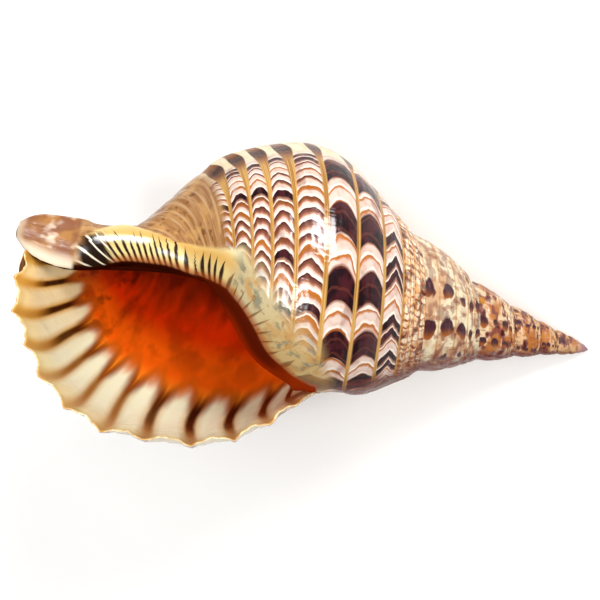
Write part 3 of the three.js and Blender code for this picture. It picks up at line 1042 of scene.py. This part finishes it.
def cord_beads(turn, cord):
    """Cream cords under the seam with fine uneven streaks across, between beaded ochre lines."""
    row = floor_of(cord * BEAD_ROWS)
    across = part_of(cord * BEAD_ROWS) * 2 - 1
    wander = noise(turn * 34, cord * 1.6) - 0.5
    place = turn * STREAKS + chance(row, 8.0) + wander * 1.8 + across * across * 0.3
    luck = chance(floor_of(place), row)
    width = 0.2 + 0.5 * luck
    streak = ramp(part_of(place), width, width - 0.12) * ramp(part_of(place), 0.0, 0.1)
    strength = 0.6 + 0.4 * ramp(noise(turn * 20, cord * 2.0, 3.0), 0.4, 0.6)
    line = ramp(size_of(across), 0.62, 0.9)
    stain = ramp(noise(turn * 22, cord * 1.2, 4.0, 3.0), 0.52, 0.62)
    return painted(
        blended(ramp(noise(turn * 40, cord * 4), 0.35, 0.65), "f8e8cc", "dca870"),
        (streak * strength, blended(luck, "b8621e", "5e1e12")),
        (line * 0.85, blended(ramp(wave(place), 0.3, 0.7), "a04e16", "e2a858")),
        (stain * 0.8, blended(ramp(wave(place), 0.2, 0.8), "42121a", "8a4020")),
        (ramp(turn, 0.8, 0.98) * 0.55, "7a2812"),
    )


def neck_colour(turn, cord):
    """Ochre with thin threads on the neck below the cords."""
    streaks = noise(turn * 9, cord * 7, 0.0, 3.0)
    threads = wave(cord * 3)
    spots = noise(turn * 30, cord * 2.6, 6.0, 3.0)
    return painted(
        "b68656",
        (ramp(threads, 0.55, 1.0) * 0.45, "d9b78a"),
        (ramp(streaks, 0.42, 0.62) * 0.7, "8a5426"),
        (ramp(noise(turn * 14, cord * 1.3, 8.0), 0.5, 0.64) * 0.5, "d9a866"),
        (ramp(spots, 0.56, 0.66) * ramp(threads, 0.75, 0.35) * 0.6, "55291a"),
    )


def spire_colour(turn, cord):
    """Cream with bands of dark and ochre spots, brown and mauve stains, painted shade under each turn, and a
    mauve tip.
    """
    scale = calc("POWER", GROWTH, turn * -1.0)
    wound = (1.0 - scale) / np.log(GROWTH)
    row = floor_of(cord + SPOT_CORD)
    across = part_of(cord + SPOT_CORD) * 2 - 1
    tremble = noise(wound * 50, cord * scale * 5, 1.0) - 0.5
    place = turn * SPOTS + (noise(turn * 5, cord * 0.5) - 0.5) * 0.8
    cell = floor_of(place)
    luck = chance(cell, 4.0, 5.0) * 0.5 + chance(cell, row, 5.0) * 0.5
    down = part_of(place) * 2 - 1
    round_spot = down * down * 2.2 + across * across * 1.1 + tremble * 1.2
    reach = larger((luck - 0.34) * 1.7, 0.001)
    spot = ramp(round_spot, reach, reach * 0.6) * ramp(luck, 0.34, 0.38)
    ochre = ramp(chance(cell, 9.0, 2.0), 0.5, 0.55)
    rib = ramp(size_of(across), 0.84, 0.96) * 0.6
    stain = noise(wound * 22, cord * scale * 2.2, 9.0)
    mottle = noise(wound * 44, cord * scale * 4.4, 2.0)
    streaks = noise(turn * 60, cord * 1.6, 4.0)
    # Painted shade: dark red-brown along the underside of each turn, where the turn curves away below
    below = ramp(size_of(part_of(turn + 0.46) - 0.5) + tremble * 0.1, 0.15, 0.07)
    early = ramp(turn, 1.6, 2.4)
    base = painted(
        blended(ramp(turn, 1.6, 4.0), "e4d6b4", "d8ad80"),
        (rib, "b88238"),
        (ramp(stain, 0.46, 0.58) * (0.5 + 0.4 * early), "b0641e"),
        (ramp(streaks, 0.52, 0.64) * 0.6, "94491e"),
        (ramp(mottle, 0.5, 0.58) * (0.5 + 0.45 * early), "7c3e36"),
        (ramp(mottle, 0.6, 0.66) * early, "43181a"),
        (below * 0.9, "6c2012"),
    )
    dark_spot = blended(ramp(down, -0.1, 0.6), "42222a", "a85c22")
    spotted = painted(base, (spot, blended(ochre, dark_spot, "b4741e")))
    return blended(ramp(turn, TIP_COLOUR_FROM, TIP_COLOUR_TO), spotted, "a87a80")


def mouth_colour(turn, cord):
    """Cream flutes with brown between them, which deepen to orange inside and darken with painted shade
    further in.
    """
    straight = cord - ramp(turn, 0.01, 0.12) * ramp(cord, 11.8, 9.2) * 0.44
    groove = size_of(part_of(straight + 0.5) - 0.5)
    row = floor_of(straight + 0.5)
    drift = noise(turn * 20, cord * 2) - 0.5
    edge = TONGUE_TURN + TONGUE_ARCH * calc("SINE", groove * np.pi) ** 0.35 + ramp(cord, 8.0, 11.0) * 0.02
    inner = ramp(turn + drift * 0.03, edge - 0.016, edge + 0.016)
    strength = ramp(size_of(row - 6.9), 0.4, 2.6)
    line = ramp(groove, 0.2, 0.03) * (0.25 + 0.75 * ramp(turn, 0.0, 0.07))
    blotch = ramp(groove + drift * 0.1, 0.17, 0.06)
    blotch = blotch * ramp(turn, 0.04, 0.085) * ramp(turn, 0.16, 0.12) * strength
    cream = painted(
        "fdf7d4",
        (ramp(turn, 0.06, 0.0) * 0.7, "ebd28a"),
        (ramp(turn, 0.004, 0.0) * ramp(noise(cord * 6, turn), 0.35, 0.6) * 0.8, "b98d54"),
        (ramp(cord, 8.0, 11.0) * 0.6, "cf9a50"),
        (ramp(groove, 0.36, 0.08) * (0.6 + 0.3 * ramp(cord, 7.0, 10.0)), "cf9638"),
        (line * 0.9, "a8641c"),
    )
    orange = painted(
        "ff9626",
        (ramp(turn, 0.13, 0.17), "ff640a"),
        (ramp(turn, 0.185, 0.23), "e63202"),
        # Painted shade: near black deep in the mouth, over the shell's own dark red
        (ramp(turn + drift * 0.08, 0.225, 0.29) * 0.92, "4a0f04"),
        (ramp(noise(turn * 26, cord * 1.1, 3.0, 3.0), 0.52, 0.7) * 0.45, "a82c04"),
        (ramp(noise(turn * 18, cord * 0.9, 8.0, 3.0), 0.42, 0.6) * ramp(turn, 0.15, 0.2) * 0.45, "8c2403"),
        # Darker toward the inner lip: the shell's dark mottles, deepened as painted shade of the inner lip
        (ramp(cord, 9.4, 11.2) * 0.8, "6a1c08"),
        (ramp(noise(turn * 34, cord * 1.6, 5.0, 3.0), 0.5, 0.66) * ramp(cord, 7.0, 9.5) * 0.6, "4a1006"),
    )
    tongues = blended(inner, cream, orange)
    halo = bump_at(turn + drift * 0.03, edge - 0.004, 0.03) * ramp(groove, 0.4, 0.15)
    return painted(
        tongues,
        (bump_at(turn + drift * 0.03, edge + 0.01, 0.024) * 0.6, "b8540e"),
        (halo * 0.75, "843208"),
        (blotch * 0.95, "2e0a04"),
    )


def inner_colour(along, inward):
    """The shell's dark red behind the inner lip, with painted shade toward the canal, brighter deeper in and
    toward the mouth's corner.
    """
    return painted(
        "521404",
        # Painted shade: near black toward the canal, behind the inner lip's roll
        (ramp(along, 85.0, 120.0), "2a0802"),
        (ramp(inward, 8.0, 20.0) * ramp(along, 115.0, 60.0), "8c2404"),
        (ramp(along, 30.0, 6.0), "8c2a06"),
    )


def shield_colour(along, inward, stroke):
    """The inner lip: a tan and grey callus by the corner, a pale roll along the canal, and dark strokes."""
    roll = ramp(along, ROLL_FROM, ROLL_TO)
    clouds = noise(along * 0.11, inward * 0.09, 2.0, 3.0)
    grey = ramp(noise(along * 0.16, inward * 0.14, 0.0, 3.0), 0.52, 0.64) * ramp(inward, -3.0, -9.0)
    callus = painted(
        "c2a671",
        (bump_at(along, 58.0, 26.0) * 0.7, "bbb390"),
        (ramp(clouds, 0.46, 0.62) * 0.8, "b98a4c"),
        (grey * 0.8, "747868"),
        (ramp(noise(along * 0.4, inward * 0.3, 6.0), 0.6, 0.7) * 0.5, "7a4a28"),
    )
    tan = painted(
        "e6cd8c",
        (bump_at(inward, -12.5, 6.0) * 0.75, "dba650"),
        (ramp(inward, -16.0, -19.0), "f4e4b4"),
    )
    base = blended(roll, callus, tan)
    counted = stroke * STROKE_DENSITY + 0.5
    away = size_of(part_of(counted) - 0.5)
    luck = chance(floor_of(counted), 2.0)
    start = STROKE_START - 4.5 * roll + 4.0 * luck
    width = ramp(inward, start, start + STROKE_RUN) * (0.17 + 0.17 * roll)
    mark = ramp(away, width, width * 0.4) * ramp(inward, start, start + 2.0) * (0.7 + 0.3 * roll)
    ink = blended(roll, blended(ramp(inward, -9.0, -2.0), "84501f", "30100a"), "1c0c06")
    lip = painted(base, (mark, ink), (ramp(inward, -4.5, 0.5) * 0.75, "9a4414"))
    curl = inward - 0.04 * (SHIELD_LENGTH - along) ** 2.0
    lines = ramp(size_of(part_of(curl / 7.0 + 0.214) - 0.5), 0.36, 0.46)
    end = ramp(along, 141.0, 147.0) * ramp(inward, -17.0, -14.0)
    return blended(end, lip, blended(lines, "120a08", "efe2cc"))


def lobe_colour(turn, height):
    """The thin end of the canal: brown clouded with mauve and cream, with a pale rim."""
    clouds = noise(turn * 7, height * 0.1)
    return painted(
        "96643a",
        (ramp(clouds, 0.42, 0.66) * 0.8, "85543f"),
        (ramp(clouds, 0.5, 0.36) * 0.7, "b07c46"),
        (ramp(noise(turn * 8, height * 0.09, 3.0), 0.54, 0.7) * 0.6, "f0dcc4"),
        (ramp(turn, 0.88, 0.98), "efdfc6"),
        (ramp(height, 294.0, 299.0) * 0.7, "e6ccae"),
    )


def fine_relief(turn, cord, zone, shield):
    """Heights in millimetres of what is finer than the mesh: growth lines, threads, beads and slow waves."""
    growth = noise(turn * 150, cord * 1.2) * 0.35
    threads = wave(cord * 4) * 0.08 * ramp(turn, 0.01, 0.06)
    beads = wave(turn * BEADS) * wave(cord * BEAD_ROWS + 0.5) * 0.35
    beads = beads * ramp(cord, BEADS_END + 0.1, BEADS_END - 0.1) * ramp(turn, 1.0, 0.99)
    knobs = wave(turn * 22 + cord * 0.5) * wave(cord + 0.5) * 0.8
    knobs = knobs * ramp(turn, 1.0, 1.05) * ramp(turn, 6.0, 3.0)
    pits = noise(turn * 60, cord * 4, 2.0, 3.0) * 0.3
    outside = (growth + threads + beads + knobs + pits) * (1 - shield * 0.8)
    inside = noise(turn * 30, cord * 1.5, 4.0) * 1.2
    return blend_number(is_inside(zone), outside, inside)


def shell_material():
    """One material for the whole surface, which finds its place by the mesh's own attributes."""
    material = bpy.data.materials.new("shell")
    material.use_nodes = True
    Wire.tree = material.node_tree
    shader = material.node_tree.nodes["Principled BSDF"]
    turn, cord, zone = attribute("turn"), attribute("cord"), attribute("zone")
    shield, along, inward = attribute("shield"), attribute("along"), attribute("inward")
    # deep: the dark red behind the inner lip and inside the cavity, with its painted shade
    deep = inner_colour(along, inward)
    outside = blended(ramp(turn, 1.0, 1.02), outer_colour(turn, cord), spire_colour(turn, cord))
    lip = shield_colour(along, inward, attribute("stroke"))
    outside = painted(
        outside,
        (GLAZE, "32180c"),
        (shield, painted(lip, (LIP_GLAZE, "5a3a1c"))),
        (ramp(inward, 0.0, 2.0), deep),
    )
    height = attribute("height")
    outside = blended(ramp(height, SHIELD_END, SHIELD_END + 2.5), outside, lobe_colour(turn, height))
    colour = blended(is_inside(zone), outside, mouth_colour(turn, cord))
    colour = blended(is_pillar_side(zone), colour, deep)
    material.node_tree.links.new(colour.socket, shader.inputs["Base Color"])
    relief = fine_relief(turn, cord, zone, shield)
    bump = node("ShaderNodeBump", {"Height": relief, "Distance": MM, "Strength": BUMP_STRENGTH})
    material.node_tree.links.new(bump.socket, shader.inputs["Normal"])
    gloss = SPECULAR_RISE * ramp(size_of(turn - DULL_SEAM_TURN), 0.07, 0.16)
    gloss = SPECULAR_LEAST + gloss * ramp(size_of(turn - DULL_LIP_TURN), 0.02, 0.09)
    gloss = blend_number(is_inside(zone), gloss, SPECULAR_INSIDE) * ramp(inward, 3.0, -1.0)
    material.node_tree.links.new(gloss.socket, shader.inputs["Specular IOR Level"])
    worn = noise(turn * 40, cord * 2.2, 9.0, 3.0)
    rough = 0.12 + worn * 0.14 + ramp(turn, 1.1, 2.2) * ramp(zone, 0.6, 0.4) * 0.12
    material.node_tree.links.new(rough.socket, shader.inputs["Roughness"])
    return material


def build_floor():
    bpy.ops.mesh.primitive_plane_add(size=FLOOR_SIZE)
    floor = bpy.context.object
    floor.name = "floor"
    floor.data.materials.append(plain_material("floor", "f6f5f3", 0.9))


def add_light(name, matrix, place, aim, power, width, diffuse=True, glossy=True):
    """A round area light at a place in the camera's own axes, aimed at a point in them, in watts."""
    data = bpy.data.lights.new(name, "AREA")
    data.energy = power
    data.shape = "DISK"
    data.size = width
    light = bpy.data.objects.new(name, data)
    start = matrix @ Matrix.Translation(place)
    here = start.translation
    there = (matrix @ Matrix.Translation(aim)).translation
    light.rotation_euler = (there - here).to_track_quat("-Z", "Y").to_euler()
    light.location = here
    light.visible_diffuse = diffuse
    light.visible_glossy = glossy
    bpy.context.scene.collection.objects.link(light)


def light_scene(camera):
    """Soft studio lights; the last two only give gleams, and the broad ones give none."""
    matrix = camera.matrix_world
    add_light("key", matrix, (0.15, 0.5, -0.1), SHELL_MIDDLE, 5.6, 0.4)
    add_light("top", matrix, (-0.8, 0.9, 0.1), SHELL_MIDDLE, 5, 1.4, glossy=False)
    add_light("mouth", matrix, BESIDE_MOUTH, MOUTH_MIDDLE, 2.6, 0.3)
    add_light("wash", matrix, (-0.2, -0.5, 0.9), LEFT_PART, 26, 2.4, glossy=False)
    add_light("window", matrix, (0.15, 0.47, -0.22), SHELL_MIDDLE, 34, 0.42, diffuse=False)
    add_light("canal", matrix, BESIDE_MOUTH, MOUTH_MIDDLE, 16, 0.3, diffuse=False)
    world = bpy.data.worlds.new("studio")
    world.use_nodes = True
    background = world.node_tree.nodes["Background"]
    background.inputs["Color"].default_value = (1, 1, 1, 1)
    background.inputs["Strength"].default_value = WORLD_STRENGTH
    bpy.context.scene.world = world


shell_piece = build_mesh()
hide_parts("shell")
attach(shell_piece, "root")
shell_piece.data.materials.append(shell_material())
build_floor()
light_scene(place_camera())
bpy.context.scene.view_settings.view_transform = "Standard"
